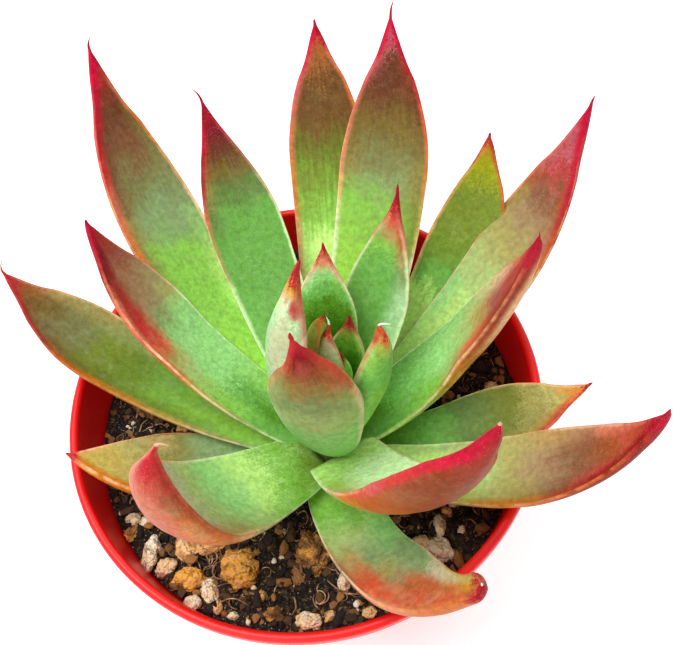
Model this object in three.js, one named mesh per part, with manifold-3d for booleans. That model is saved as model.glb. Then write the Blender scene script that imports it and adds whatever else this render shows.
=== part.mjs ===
import * as THREE from 'three';
import { mergeVertices } from 'three/addons/utils/BufferGeometryUtils.js';
import Module from 'manifold-3d';

// A rosette succulent in a round red grower's pot. Millimetres, +Z up.
// The origin is the middle of the pot's foot, and -Y faces the viewer.

const wasm = await Module();
wasm.setup();

const degree = Math.PI / 180;
const gap = 0.3;
const sliver = 0.02;

// Pot: thin moulded plastic with a small rounded lip.
const potHeight = 80;
const potRimRadius = 50;
const potFootRadius = 33;
const potWall = 1.2;
const potFloor = 1.6;
const potFootBevel = 0.8;
const collarHeight = 14;
const collarTaper = 1.4;
const lipWidth = 2;
const lipDepth = 3.4;
const lipUnderside = 0.5;
const drainHoles = 6;
const drainHoleRadius = 3.5;
const drainHoleSides = 16;
const drainCircleRadius = 23;
const roundSides = 48;

// Soil: filled to a little under the rim.
const soilDepth = 13;
const soilRoughness = 0.6;
const soilRings = 6;
const soilEdge = 4;
const soilSeed = 29;

// Grains: how irregular they are, how far they stand out, and where the small ones are strewn.
const grainLeast = 0.88;
const grainSpread = 0.3;
const grainLift = 0.1;
const facetedBelow = 5;
const strewnGrains = 18;
const strewnInner = 14;
const strewnBand = 28;
const strewnClear = 2.5;
const strewnLength = 1.8;
const strewnExtra = 1.6;
const strewnFlatness = 0.8;

// Stem: leans back as it rises, hidden inside the rosette.
const stemMiddle = new THREE.Vector3(5.5, -9, potHeight);
const stemLean = new THREE.Vector2(0.2, 0.3);
const stemReach = 18;
const stemRise = 7;
const stemRadius = 3.2;
const stemTopRadius = 0.8;
const stemSides = 12;

// Leaf blades: what all leaves share. Shares are of the leaf's length, or of its thickness.
const leafStations = 12;
const leafSides = 10;
const stationSpread = 1.25;
const midlineSteps = 240;
const bendLateness = 1.5;
const neckCurve = 1.6;
const footThickness = 0.62;
const thickestAt = 0.7;
const tipFullness = 3.2;
const hollowShare = 0.1;
const keelFullness = 0.62;
const cupAtFoot = 0.35;
const cupWholeAt = 0.6;
const footCap = 0.5;
const bristleLength = 1.6;
const bristleRadius = 0.3;

const usualLeaf = {
  reach: 4, thickness: 4.8, lateness: 1.2, bend: 0, roll: 0, rolledBy: 0.5, cup: 20, belly: 0.58, neck: 0.5,
  taper: 1.1,
};

// Leaves from the heart of the rosette outwards. heading: compass angle of the foot, 0 is +X and
// 90 is +Y. foot: height of the foot over the rim. reach: from the middle of the stem to the foot.
// rise: slope of the midline at foot and tip. lateness: over 1, most of that curl comes near the tip.
// bend: sideways turn by the tip. roll: turn about the midline, whole by the share rolledBy of the
// length. cup: half angle of the hollow upper face. belly: where the leaf is widest. neck: width of
// the foot over the greatest width. thickness: at the thickest. taper: over 1 for a slender tip. taper: over 1 for a slender tip.
const leaves = [
  { heading: -13.9, foot: 7, reach: 0.9, length: 21.6, width: 4.6, rise: [80.5, 92.1], thickness: 2.2,
    lateness: 1.26, bend: -9, roll: -7, belly: 0.56, taper: 1.36 },
  { heading: 238, foot: 5.5, reach: 1.5, length: 30.3, width: 7.7, rise: [89.7, 108.1], thickness: 2.8,
    lateness: 1.25, bend: -9, roll: -3, taper: 1.16 },
  { heading: 59.7, foot: 4, reach: 1.7, length: 21.1, width: 7.8, rise: [55, 62.3], thickness: 3,
    lateness: 1.25, bend: 9, roll: 2, taper: 1.16 },
  { heading: 141.9, foot: 7, reach: 1.7, length: 32.7, width: 9.7, rise: [82.1, 108], thickness: 2.8,
    lateness: 1.25, bend: 30, roll: -1, belly: 0.59, taper: 1.06 },
  { heading: 84.9, foot: 2, reach: 3, length: 35.3, width: 12.8, rise: [49.9, 59.4], thickness: 4.2,
    lateness: 1.27, bend: -10, belly: 0.55, taper: 1.16 },
  { heading: -3.3, foot: 0.5, reach: 3, length: 39.8, width: 8.8, rise: [73.9, 83.8], lateness: 1.18,
    bend: 2, roll: -43, rolledBy: 0.35, belly: 0.59, taper: 1.09 },
  { heading: -113, foot: -0.5, reach: 3.3, length: 43.3, width: 18.3, rise: [75.9, 112], thickness: 4,
    lateness: 1.15, bend: 33, roll: -11, cup: 26, belly: 0.54, neck: 0.58, taper: 1.07 },
  { heading: 179.3, foot: 1, reach: 3.2, length: 53.3, width: 11.3, rise: [76.1, 122.2], thickness: 4.4,
    lateness: 1.34, bend: 44, belly: 0.56, neck: 0.55, taper: 1.18 },
  { heading: 56.2, foot: -1, reach: 3.2, length: 49.6, width: 13.7, rise: [35.6, 61.8], thickness: 4.3,
    lateness: 1.55, bend: 6, roll: 1, cup: 14, belly: 0.51, taper: 1.24 },
  { heading: -66.6, foot: -3.1, length: 65.1, width: 20, rise: [29.1, 79.8], lateness: 0.69, bend: 74,
    roll: -81, rolledBy: 0.99, cup: 30, belly: 0.54, neck: 0.75, taper: 0.91 },
  { heading: 22.3, foot: -3.5, length: 59.6, width: 18.1, rise: [8.2, 73], lateness: 1.05, bend: -1,
    roll: -42, belly: 0.53 },
  { heading: 211.4, foot: -4.5, length: 62.4, width: 21.5, rise: [20.9, 124.9], thickness: 5.2,
    lateness: 1.53, bend: 14, roll: 1, cup: 30, belly: 0.59, neck: 0.56, taper: 1.12 },
  { heading: 145.1, foot: -4.5, length: 65.6, width: 16.7, rise: [17.2, 57.7], lateness: 1.22, bend: -27,
    roll: 29, taper: 1.08 },
  { heading: -85.1, foot: -7.5, length: 53.8, width: 14.1, rise: [16.7, 58.6], thickness: 5.2,
    lateness: 1.49, bend: 79, roll: -8, cup: 26, belly: 0.56, neck: 0.97, taper: 1.18 },
  { heading: -25.1, foot: -7.5, length: 73.9, width: 15.1, rise: [8.4, 77.3], lateness: 1.38, bend: 21,
    roll: -3, cup: 25, belly: 0.53, neck: 0.45, taper: 1.16 },
  { heading: -3.2, foot: -9, length: 52.4, width: 14.3, rise: [9.6, 34.5], thickness: 4.4,
    lateness: 1.26, bend: 7, roll: 7, belly: 0.6, taper: 1.04 },
  { heading: 182.2, foot: -9, length: 50.4, width: 17.3, rise: [8.4, 27.5], thickness: 5.2,
    lateness: 1.23, bend: -18, roll: 13, cup: 30, belly: 0.5, taper: 0.98 },
  { heading: 153.4, foot: -6.5, length: 76.5, width: 17.4, rise: [6.7, 38.7], lateness: 1.6, bend: -19,
    roll: 16, belly: 0.67, neck: 0.42, taper: 1.08 },
  { heading: 104, foot: -4.5, length: 75.6, width: 16.7, rise: [9.5, 57.3], lateness: 1.13, bend: -1,
    roll: -7, cup: 24, belly: 0.61, neck: 0.46, taper: 1.12 },
  { heading: 66.1, foot: -5, length: 88.5, width: 19.1, rise: [17.2, 52], thickness: 5.2, lateness: 1.23,
    bend: 12, roll: 12, cup: 12, belly: 0.64, taper: 1.09 },
  { heading: 33.4, foot: -7, length: 88.3, width: 17.1, rise: [8.8, 60.6], thickness: 5.2,
    lateness: 1.45, bend: 11, roll: -12, cup: 10, belly: 0.57, taper: 1.11 },
  { heading: 125.3, foot: -5.5, reach: 4.6, length: 94.6, width: 20.4, rise: [6.6, 64], lateness: 0.89,
    bend: -24, roll: 28, cup: 15, belly: 0.56, neck: 0.45, taper: 1.05 },
  { heading: 79.8, foot: -6.5, reach: 4.4, length: 90.8, width: 17.3, rise: [6.7, 67.4], thickness: 4.6,
    lateness: 1.27, bend: 7, roll: -5, cup: 10, belly: 0.68, taper: 1.02 },
  { heading: 43.5, foot: -8, length: 78.7, width: 16.9, rise: [-1.4, 85.4], thickness: 4.6,
    lateness: 1.51, bend: 17, roll: 16, cup: 16, belly: 0.61, taper: 1.05 },
].map((leaf) => ({ ...usualLeaf, ...leaf }));

// Pumice grains and bark crumbs seen in the photograph: middle, length, width, tallness and turn.
const grains = [
  { at: [-36, -25], size: [7.4, 3.6, 3.4], turn: 75 },
  { at: [-29, -25], size: [5.4, 4.2, 4], turn: 100 },
  { at: [-33, -28.5], size: [4.6, 4, 3.6], turn: 20 },
  { at: [-28.5, -31.5], size: [6.4, 4.8, 4.4], turn: 170 },
  { at: [-24.5, -34.5], size: [5.8, 3.6, 3.6], turn: 110 },
  { at: [-28, -36.5], size: [3.8, 3.2, 3], turn: 30 },
  { at: [-18, -31], size: [8.4, 7.6, 6], turn: 120 },
  { at: [-3, -30], size: [8.8, 6.4, 5.4], turn: 75 },
  { at: [-5, -43.3], size: [5.4, 3.8, 3.8], turn: 0 },
  { at: [-40, -17], size: [3.4, 3, 3], turn: 10 },
  { at: [-24, -25], size: [8.4, 4, 4], turn: 5 },
  { at: [23, -33.5], size: [6.8, 5.4, 4.6], turn: 150 },
  { at: [19.5, -31.5], size: [3.8, 3.2, 3], turn: 10 },
  { at: [24, -28.5], size: [4.8, 2.6, 2.8], turn: 80 },
  { at: [28, -24], size: [3.4, 3, 2.8], turn: 0 },
  { at: [3, -37], size: [3.8, 2.8, 2.8], turn: 80 },
  { at: [7, -43.6], size: [3, 2.6, 2.6], turn: 0 },
  { at: [41, 0], size: [3.4, 2.8, 2.8], turn: 40 },
  { at: [-36, 8], size: [4.4, 3.4, 3], turn: 160 },
  { at: [-28, 3], size: [3.6, 3.2, 3], turn: 15 },
];

// A copy that keeps only the positions.
function bareOf(geometry) {
  const bare = geometry.clone();
  bare.deleteAttribute('normal');
  bare.deleteAttribute('uv');
  return bare;
}

function solid(geometry) {
  const merged = mergeVertices(bareOf(geometry), 1e-5);
  return new wasm.Manifold(new wasm.Mesh({
    numProp: 3,
    vertProperties: new Float32Array(merged.attributes.position.array),
    triVerts: new Uint32Array(merged.index.array),
  }));
}

function geometryOf(body) {
  const mesh = body.getMesh();
  const geometry = new THREE.BufferGeometry();
  geometry.setAttribute('position', new THREE.BufferAttribute(new Float32Array(mesh.vertProperties), 3));
  geometry.setIndex(new THREE.BufferAttribute(new Uint32Array(mesh.triVerts), 1));
  geometry.computeVertexNormals();
  return geometry;
}

// The largest piece of a body, without the scraps and slivers that a cut leaves.
function mainPiece(body) {
  const pieces = body.decompose();
  pieces.sort((a, b) => b.volume() - a.volume());
  return pieces[0].simplify(sliver);
}

function draws(seed) {
  let state = seed;
  return () => {
    state = (state + 0x6d2b79f5) | 0;
    let t = Math.imul(state ^ (state >>> 15), 1 | state);
    t = (t + Math.imul(t ^ (t >>> 7), 61 | t)) ^ t;
    return ((t ^ (t >>> 14)) >>> 0) / 4294967296;
  };
}

function smoothstep(from, to, value) {
  const share = Math.min(1, Math.max(0, (value - from) / (to - from)));
  return share * share * (3 - 2 * share);
}

// A turned profile of [radius, height] points, revolved about +Z.
function turned(profile, sides) {
  const geometry = new THREE.LatheGeometry(profile.map(([r, z]) => new THREE.Vector2(r, z)), sides);
  return geometry.rotateX(Math.PI / 2);
}

// Inner radius of the pot at a height.
function potInside(z) {
  const collarFoot = potHeight - collarHeight;
  const top = potRimRadius - lipWidth;
  const collar = top - collarTaper;
  if (z > collarFoot) {
    return collar + (top - collar) * (z - collarFoot) / collarHeight;
  }
  const foot = potFootRadius - potWall;
  return foot + (collar - foot) * z / collarFoot;
}

function buildPot() {
  const collarFoot = potHeight - collarHeight;
  const lipRadius = lipWidth / 2;
  const lipMiddle = potRimRadius - lipRadius;
  const profile = [[0, 0], [potFootRadius - potFootBevel, 0], [potFootRadius, potFootBevel]];
  profile.push([potInside(collarFoot) + potWall, collarFoot]);
  profile.push([potInside(potHeight - lipDepth) + potWall, potHeight - lipDepth]);
  profile.push([potRimRadius, potHeight - lipDepth + lipUnderside]);
  for (let turn = 0; turn <= 180; turn += 45) {
    const across = Math.cos(turn * degree) * lipRadius;
    const up = Math.sin(turn * degree) * lipRadius;
    profile.push([lipMiddle + across, potHeight - lipRadius + up]);
  }
  profile.push([potInside(collarFoot), collarFoot]);
  profile.push([potInside(potFloor), potFloor], [0, potFloor]);
  let body = solid(turned(profile, roundSides));
  for (let i = 0; i < drainHoles; i += 1) {
    const hole = new THREE.CylinderGeometry(drainHoleRadius, drainHoleRadius, 4 * potFloor, drainHoleSides);
    hole.rotateX(Math.PI / 2);
    const turn = (i + 0.5) * 2 * Math.PI / drainHoles;
    hole.translate(drainCircleRadius * Math.cos(turn), drainCircleRadius * Math.sin(turn), 0);
    body = body.subtract(solid(hole));
  }
  return body;
}

// Centre of the stem at a height.
function stemAt(z) {
  const over = z - stemMiddle.z;
  return new THREE.Vector3(stemMiddle.x + stemLean.x * over, stemMiddle.y + stemLean.y * over, z);
}

function buildStem(grow) {
  const levels = [
    [stemMiddle.z - stemReach - grow, stemRadius + grow],
    [stemMiddle.z - 2, stemRadius + grow],
    [stemMiddle.z + stemRise + grow, stemTopRadius + grow],
  ];
  const foot = levels[0][0];
  const profile = [[0, foot], ...levels.map(([z, r]) => [r, z]), [0, levels[2][0]]];
  const geometry = turned(profile, stemSides);
  const place = geometry.attributes.position;
  for (let i = 0; i < place.count; i += 1) {
    const centre = stemAt(place.getZ(i));
    place.setXY(i, place.getX(i) + centre.x, place.getY(i) + centre.y);
  }
  return solid(geometry);
}

// Width of a blade along its length, 1 at its widest.
function widthShare(along, { belly, neck, taper }) {
  if (along > belly) {
    return Math.sin(Math.PI / 2 * ((1 - along) / (1 - belly)) ** taper);
  }
  return 1 - (1 - neck) * ((belly - along) / belly) ** neckCurve;
}

// Thickness of a blade along its length, 1 at its thickest.
function thicknessShare(along) {
  const swell = Math.sin(Math.min(1, along / thickestAt) * Math.PI / 2);
  const thick = footThickness + (1 - footThickness) * swell;
  return thick * Math.sqrt(Math.max(0, 1 - along ** tipFullness));
}

// Midline of a leaf: points and directions at even steps from foot to tip.
function midline(leaf) {
  const centre = stemAt(potHeight + leaf.foot);
  const heading = leaf.heading * degree;
  const point = new THREE.Vector3(Math.cos(heading), Math.sin(heading), 0);
  point.multiplyScalar(leaf.reach).add(centre);
  const line = [];
  for (let i = 0; i <= midlineSteps; i += 1) {
    const along = i / midlineSteps;
    line.push({ along, point: point.clone(), ...directions(leaf, along) });
    const ahead = directions(leaf, along + 0.5 / midlineSteps).tangent;
    point.addScaledVector(ahead, leaf.length / midlineSteps);
  }
  return line;
}

function directions(leaf, along) {
  const [footRise, tipRise] = leaf.rise;
  const rise = (footRise + (tipRise - footRise) * along ** leaf.lateness) * degree;
  const turn = (leaf.heading + leaf.bend * along ** bendLateness) * degree;
  const level = Math.cos(rise);
  const tangent = new THREE.Vector3(level * Math.cos(turn), level * Math.sin(turn), Math.sin(rise));
  const side = new THREE.Vector3(-Math.sin(turn), Math.cos(turn), 0);
  const face = new THREE.Vector3().crossVectors(tangent, side);
  const roll = leaf.roll * degree * Math.min(1, along / leaf.rolledBy);
  side.applyAxisAngle(tangent, roll);
  face.applyAxisAngle(tangent, roll);
  return { tangent, side, face };
}

// One ring of a blade's skin: a hollow upper face over a rounded keel. Growing it moves the skin out.
function section(leaf, station, grow) {
  const { along, point, side, face } = station;
  const half = Math.max(bristleRadius, leaf.width / 2 * widthShare(along, leaf));
  const thick = Math.max(bristleRadius, leaf.thickness * thicknessShare(along));
  const cup = leaf.cup * degree * Math.min(1, cupAtFoot + (1 - cupAtFoot) * along / cupWholeAt);
  const radius = half / cup;
  const ring = [];
  for (let i = 0; i < leafSides; i += 1) {
    const turn = i / leafSides * 2 * Math.PI;
    const across = Math.cos(turn);
    const fill = Math.max(0, 1 - across * across);
    const over = hollowShare * thick * fill;
    const under = (1 - hollowShare) * thick * fill ** keelFullness;
    const lift = Math.sin(turn) > 0 ? over : -under;
    const margin = fill < 1e-6 ? 0 : Math.sign(lift) * grow;
    const angle = across * cup * (1 + grow / half);
    const x = (radius - lift - margin) * Math.sin(angle);
    const y = radius - (radius - lift - margin) * Math.cos(angle);
    ring.push(point.clone().addScaledVector(side, x).addScaledVector(face, y));
  }
  return ring;
}

// A leaf as one closed body. Stations lie closer together towards the tip.
function buildLeaf(leaf, grow = 0) {
  const line = midline(leaf);
  const points = [];
  for (let i = 0; i < leafStations; i += 1) {
    const share = 1 - (1 - i / (leafStations - 1)) ** stationSpread;
    const station = line[Math.round(share * midlineSteps)];
    points.push(...section(leaf, station, grow));
  }
  const first = line[0];
  const last = line[midlineSteps];
  points.push(first.point.clone().addScaledVector(first.tangent, -footCap - grow));
  points.push(last.point.clone().addScaledVector(last.tangent, bristleLength + grow));
  const footPoint = points.length - 2;
  const tipPoint = points.length - 1;
  const index = [];
  const lastRing = (leafStations - 1) * leafSides;
  for (let j = 0; j < leafSides; j += 1) {
    const next = (j + 1) % leafSides;
    index.push(footPoint, next, j);
    for (let i = 0; i < leafStations - 1; i += 1) {
      const a = i * leafSides;
      const b = a + leafSides;
      index.push(a + j, a + next, b + j, b + j, a + next, b + next);
    }
    index.push(lastRing + j, lastRing + next, tipPoint);
  }
  const geometry = new THREE.BufferGeometry();
  geometry.setAttribute('position', new THREE.Float32BufferAttribute(points.flatMap((p) => p.toArray()), 3));
  geometry.setIndex(index);
  return solid(geometry);
}

// Each leaf is trimmed to lie clear of the stem and of the younger leaves that clasp it.
function buildLeaves() {
  const stem = buildStem(gap);
  const clasping = [];
  return leaves.map((leaf) => {
    let body = buildLeaf(leaf).subtract(stem);
    for (const inner of clasping) {
      body = body.subtract(inner);
    }
    clasping.push(buildLeaf(leaf, gap));
    return mainPiece(body);
  });
}

// Height of the soil's own surface: uneven, and lower round the stem.
function soilHeight(x, y) {
  const waves = Math.sin(0.31 * x + 1.3) * Math.cos(0.27 * y - 0.4) + 0.6 * Math.sin(0.83 * x - 0.7 * y);
  const fine = 0.5 * Math.sin(1.9 * x + 0.4) * Math.sin(1.7 * y);
  return potHeight - soilDepth + soilRoughness * (waves + fine);
}

// A rounded stone with flats, partly sunk into the soil.
function buildGrain({ at: [x, y], size: [length, width, tall], turn }, draw) {
  const geometry = new THREE.IcosahedronGeometry(0.5, length > facetedBelow ? 1 : 0);
  const shape = mergeVertices(bareOf(geometry), 1e-5);
  const place = shape.attributes.position;
  for (let i = 0; i < place.count; i += 1) {
    const size = grainLeast + grainSpread * draw();
    place.setXYZ(i, place.getX(i) * size, place.getY(i) * size, place.getZ(i) * size);
  }
  shape.scale(length, width, tall);
  shape.rotateZ(turn * degree);
  shape.translate(x, y, soilHeight(x, y) + grainLift * tall);
  return solid(shape);
}

// Small grains strewn where no larger grain lies, denser in the open soil at the front.
function strewSmallGrains(draw) {
  const strewn = [];
  while (strewn.length < strewnGrains) {
    const turn = draw() * 2 * Math.PI;
    const away = strewnInner + strewnBand * Math.sqrt(draw());
    const x = away * Math.cos(turn);
    const y = away * Math.sin(turn);
    const crowded = [...grains, ...strewn].some(({ at, size }) => {
      return Math.hypot(at[0] - x, at[1] - y) < size[0] / 2 + strewnClear;
    });
    const length = strewnLength + strewnExtra * draw();
    const across = strewnFlatness * length;
    if (!crowded) {
      strewn.push({ at: [x, y], size: [length, across, across], turn: 180 * draw() });
    }
  }
  return strewn;
}

// The room inside the pot up to a height, a gap clear of its wall and floor.
function potRoom(top) {
  const foot = potFloor + gap;
  const collarFoot = potHeight - collarHeight;
  const levels = [foot, collarFoot, top];
  return [[0, foot], ...levels.map((z) => [potInside(z) - gap, z])];
}

function buildSoil(lowLeaves) {
  const line = potHeight - soilDepth;
  const profile = potRoom(line);
  for (let i = soilRings - 1; i >= 0; i -= 1) {
    profile.push([i / soilRings * (potInside(line) - gap), line]);
  }
  const geometry = turned(profile, roundSides);
  const place = geometry.attributes.position;
  for (let i = 0; i < place.count; i += 1) {
    const x = place.getX(i);
    const y = place.getY(i);
    if (place.getZ(i) > line - 1) {
      const edge = smoothstep(potInside(line) - gap, potInside(line) - soilEdge, Math.hypot(x, y));
      place.setZ(i, line + (soilHeight(x, y) - line) * edge);
    }
  }
  let body = solid(geometry);
  const draw = draws(soilSeed);
  for (const grain of [...grains, ...strewSmallGrains(draw)]) {
    body = body.add(buildGrain(grain, draw));
  }
  const brim = [...potRoom(potHeight - 1), [0, potHeight - 1]];
  body = body.intersect(solid(turned(brim, roundSides)));
  body = body.subtract(buildStem(gap));
  for (const leaf of lowLeaves) {
    if (body.intersect(leaf).volume() > 0) {
      body = body.subtract(leaf);
    }
  }
  return mainPiece(body);
}

function named(name, body, color, roughness) {
  const mesh = new THREE.Mesh(geometryOf(body), new THREE.MeshStandardMaterial({ color, roughness }));
  mesh.name = name;
  return mesh;
}

const group = new THREE.Group();
group.add(named('pot', buildPot(), 0xd8202a, 0.4));
group.add(named('soil', buildSoil(leaves.map((leaf) => buildLeaf(leaf, gap))), 0x2e2018, 0.95));
group.add(named('stem', buildStem(0), 0x7c8a4a, 0.7));
buildLeaves().forEach((body, i) => {
  group.add(named(`leaf_${String(i + 1).padStart(2, '0')}`, body, 0x7fb04e, 0.55));
});

export default group;
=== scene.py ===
import math
import random

import bmesh
import bpy
from mathutils import Matrix, Vector, noise


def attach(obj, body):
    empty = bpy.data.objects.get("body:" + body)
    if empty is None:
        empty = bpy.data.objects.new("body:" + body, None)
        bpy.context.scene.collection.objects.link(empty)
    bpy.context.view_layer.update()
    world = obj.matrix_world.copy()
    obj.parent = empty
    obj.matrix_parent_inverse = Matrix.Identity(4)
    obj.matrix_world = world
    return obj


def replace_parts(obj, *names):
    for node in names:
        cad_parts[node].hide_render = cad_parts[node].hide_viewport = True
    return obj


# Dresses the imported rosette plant: fine leaf blades, moulded pot, gritty soil, studio and camera.
# Sizes in the dictionaries are millimetres and degrees, as in the part's own source.
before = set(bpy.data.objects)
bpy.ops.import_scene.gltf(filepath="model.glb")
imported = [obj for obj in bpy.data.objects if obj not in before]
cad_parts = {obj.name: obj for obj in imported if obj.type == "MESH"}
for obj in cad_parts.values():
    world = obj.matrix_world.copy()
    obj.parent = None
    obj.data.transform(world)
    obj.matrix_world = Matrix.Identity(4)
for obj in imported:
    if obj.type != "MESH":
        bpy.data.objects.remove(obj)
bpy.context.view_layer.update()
mm = 0.001
scene = bpy.context.scene
print("frame loaded:", len(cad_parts), "nodes")


def added(name, data):
    thing = bpy.data.objects.new(name, data)
    scene.collection.objects.link(thing)
    return thing


# Camera: where the photograph was taken from, found from the pot's rim.
camera = dict(
    target=(10.1742, 15.9551, 80),
    distance=190,
    elevation=59.06,
    roll=-9.012,
    lens=45.668,
    sensor=36,
    sight=(0.01, 20),  # metres
)


def placeCamera():
    data = bpy.data.cameras.new("viewer")
    data.lens = camera["lens"]
    data.sensor_width = camera["sensor"]
    data.clip_start, data.clip_end = camera["sight"]
    viewer = added("viewer", data)
    rise = math.radians(camera["elevation"])
    roll = math.radians(camera["roll"])
    back = Vector((0, -math.cos(rise), math.sin(rise)))
    right = Vector((1, 0, 0))
    up = back.cross(right)
    turned = right * math.cos(roll) + up * math.sin(roll)
    upright = up * math.cos(roll) - right * math.sin(roll)
    stand = (Vector(camera["target"]) + back * camera["distance"]) * mm
    facing = Matrix((turned, upright, back)).transposed().to_4x4()
    viewer.matrix_world = Matrix.Translation(stand) @ facing
    scene.camera = viewer


placeCamera()
print("camera placed")


# Colours by name, as seen in daylight: 0 to 255 for red, green and blue.
# The two darkest greens are painted shade, for the parts of blades that lie in the shade of others.
paints = dict(
    milkGreen=(206, 238, 176), paleLime=(192, 236, 128), brightLime=(166, 228, 84), lime=(150, 208, 74),
    pear=(166, 190, 78), sage=(168, 190, 116), apple=(134, 192, 76), jade=(150, 210, 124),
    # deepGreen, where it stands at the foot of a blade, is partly painted shade.
    midGreen=(112, 178, 80), leafGreen=(106, 164, 72), grass=(116, 146, 50), deepGreen=(82, 134, 30),
    shadeGreen=(52, 104, 10), darkGreen=(28, 66, 4), fern=(98, 124, 62), mint=(176, 218, 160),
    greyGreen=(132, 158, 106), glaucous=(134, 156, 96), oliveGreen=(126, 146, 54),
    greyOlive=(124, 126, 76), moss=(104, 112, 40), olive=(140, 134, 70), khaki=(164, 156, 90),
    straw=(188, 166, 80), yellowOlive=(170, 174, 30), oliveBrown=(118, 98, 44), bronze=(150, 128, 64),
    tan=(178, 142, 84), fawn=(156, 130, 92), brown=(106, 72, 34), umber=(104, 56, 34),
    russet=(150, 90, 44), duskBrown=(128, 84, 56), mauve=(160, 110, 80), dusk=(150, 70, 56),
    rose=(166, 82, 80), dustyRose=(178, 86, 96), rosePink=(206, 92, 92), plum=(118, 28, 36),
    wine=(158, 48, 40), crimson=(172, 16, 44), magenta=(196, 6, 54), darkCrimson=(136, 26, 18),
    scarlet=(196, 48, 48), redBrown=(152, 52, 36), brick=(172, 68, 44), rust=(178, 92, 30),
    cinnamon=(156, 76, 40), ember=(166, 84, 38), darkEmber=(134, 62, 26), sienna=(188, 98, 56),
    rosewood=(174, 62, 60), flame=(226, 74, 40), honey=(228, 182, 74), tangerine=(196, 112, 16),
    vermilion=(210, 90, 60), coral=(206, 110, 84), salmon=(224, 140, 104), orange=(210, 118, 56),
    amber=(196, 136, 48), peach=(226, 168, 112), apricot=(240, 190, 140), blush=(216, 170, 140),
    sand=(198, 186, 130), ash=(192, 182, 148), cream=(244, 232, 190), white=(250, 246, 236),
    soilBlack=(16, 11, 9), soilBrown=(52, 38, 26), crumbBrown=(98, 72, 44), barkBrown=(92, 66, 38),
    barkOrange=(168, 118, 62), fibre=(166, 122, 84), pumice=(255, 246, 208), pumiceTan=(238, 206, 160),
    ochre=(236, 174, 72), deepOchre=(170, 100, 30), stemGreen=(122, 138, 74), stemBrown=(112, 82, 52),
    potRed=(232, 22, 24), potDeep=(218, 8, 8), floorWhite=(250, 250, 250),
)

def tint(name):
    channels = [value / 255 for value in paints[name]]
    linear = [c / 12.92 if c <= 0.04045 else ((c + 0.055) / 1.055) ** 2.4 for c in channels]
    return (*linear, 1)


class Strand:
    # A socket in an expression on values: each operator adds a Math node.
    def __init__(self, finish, socket):
        self.finish = finish
        self.socket = socket

    def joined(self, operation, first, second):
        return self.finish.node("Math", {"operation": operation}, {0: first, 1: second})

    def __add__(self, other):
        return self.joined("ADD", self, other)

    __radd__ = __add__

    def __sub__(self, other):
        return self.joined("SUBTRACT", self, other)

    def __rsub__(self, other):
        return self.joined("SUBTRACT", other, self)

    def __mul__(self, other):
        return self.joined("MULTIPLY", self, other)

    __rmul__ = __mul__

    def __truediv__(self, other):
        return self.joined("DIVIDE", self, other)

    def __pow__(self, other):
        return self.joined("POWER", self, other)

    def __abs__(self):
        return self.joined("ABSOLUTE", self, 0)


class Finish:
    # One material: node() adds any node, put() sets or links what the shader takes.
    def __init__(self, name):
        self.material = bpy.data.materials.new(name)
        self.material.use_nodes = True
        self.tree = self.material.node_tree
        self.shader = self.tree.nodes["Principled BSDF"]
        self.place = self.node("TexCoord", {}, {}, "Object")

    def feed(self, socket, value):
        if isinstance(value, Strand):
            self.tree.links.new(value.socket, socket)
        else:
            socket.default_value = value

    def node(self, kind, settings, inputs, output=0):
        made = self.tree.nodes.new("ShaderNode" + kind)
        for name, value in settings.items():
            if name == "stops":
                ramp = made.color_ramp
                ramp.interpolation = "EASE"
                while len(ramp.elements) < len(value):
                    ramp.elements.new(1)
                for stop, (percent, colour) in zip(ramp.elements, value):
                    stop.position = float(percent) / 100
                    stop.color = tint(colour)
            else:
                setattr(made, name, value)
        for name, value in inputs.items():
            self.feed(made.inputs[name], value)
        return Strand(self, made.outputs[output])

    def put(self, **values):
        for name, value in values.items():
            self.feed(self.shader.inputs[name.replace("_", " ")], value)

    def given(self, name, output="Fac"):
        return self.node("Attribute", {"attribute_name": name}, {}, output)

    def noise(self, scale, detail, place=None):
        values = {"Vector": place or self.place, "Scale": scale, "Detail": detail}
        return self.node("TexNoise", {}, values)

    def cells(self, scale, output="Distance"):
        return self.node("TexVoronoi", {}, {"Vector": self.place, "Scale": scale}, output)

    # The stops are a text such as "10 lime 90 crimson": a percentage, then a paint.
    def ramp(self, value, stops):
        words = stops.split()
        return self.node("ValToRGB", {"stops": list(zip(words[::2], words[1::2]))}, {"Fac": value})

    def rise(self, value, low, high):
        values = {"Value": value, "From Min": low, "From Max": high}
        return self.node("MapRange", {"interpolation_type": "SMOOTHSTEP"}, values)

    # The second colour, or the paint of that name, over the first by its share.
    def blend(self, share, first, second):
        over = tint(second) if isinstance(second, str) else second
        settings = {"data_type": "RGBA", "clamp_factor": True}
        return self.node("Mix", settings, {0: share, 6: first, 7: over}, 2)

    def shade(self, colour, amount):
        return self.node("VectorMath", {"operation": "SCALE"}, {0: colour, "Scale": amount})

    def bump(self, height, strength, depth, under=None):
        values = {"Strength": strength, "Distance": depth * mm, "Height": height}
        if under:
            values["Normal"] = under
        return self.node("Bump", {}, values)


def meshOf(name, bm):
    mesh = bpy.data.meshes.new(name)
    bm.to_mesh(mesh)
    bm.free()
    return mesh


def newPiece(name, bm, finish, smooth=True):
    for face in bm.faces:
        face.smooth = smooth
    piece = added(name, meshOf(name, bm))
    piece.data.materials.append(finish.material)
    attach(piece, "root")
    return piece


def smoothstep(low, high, value):
    share = min(1, max(0, (value - low) / (high - low)))
    return share * share * (3 - 2 * share)


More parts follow.
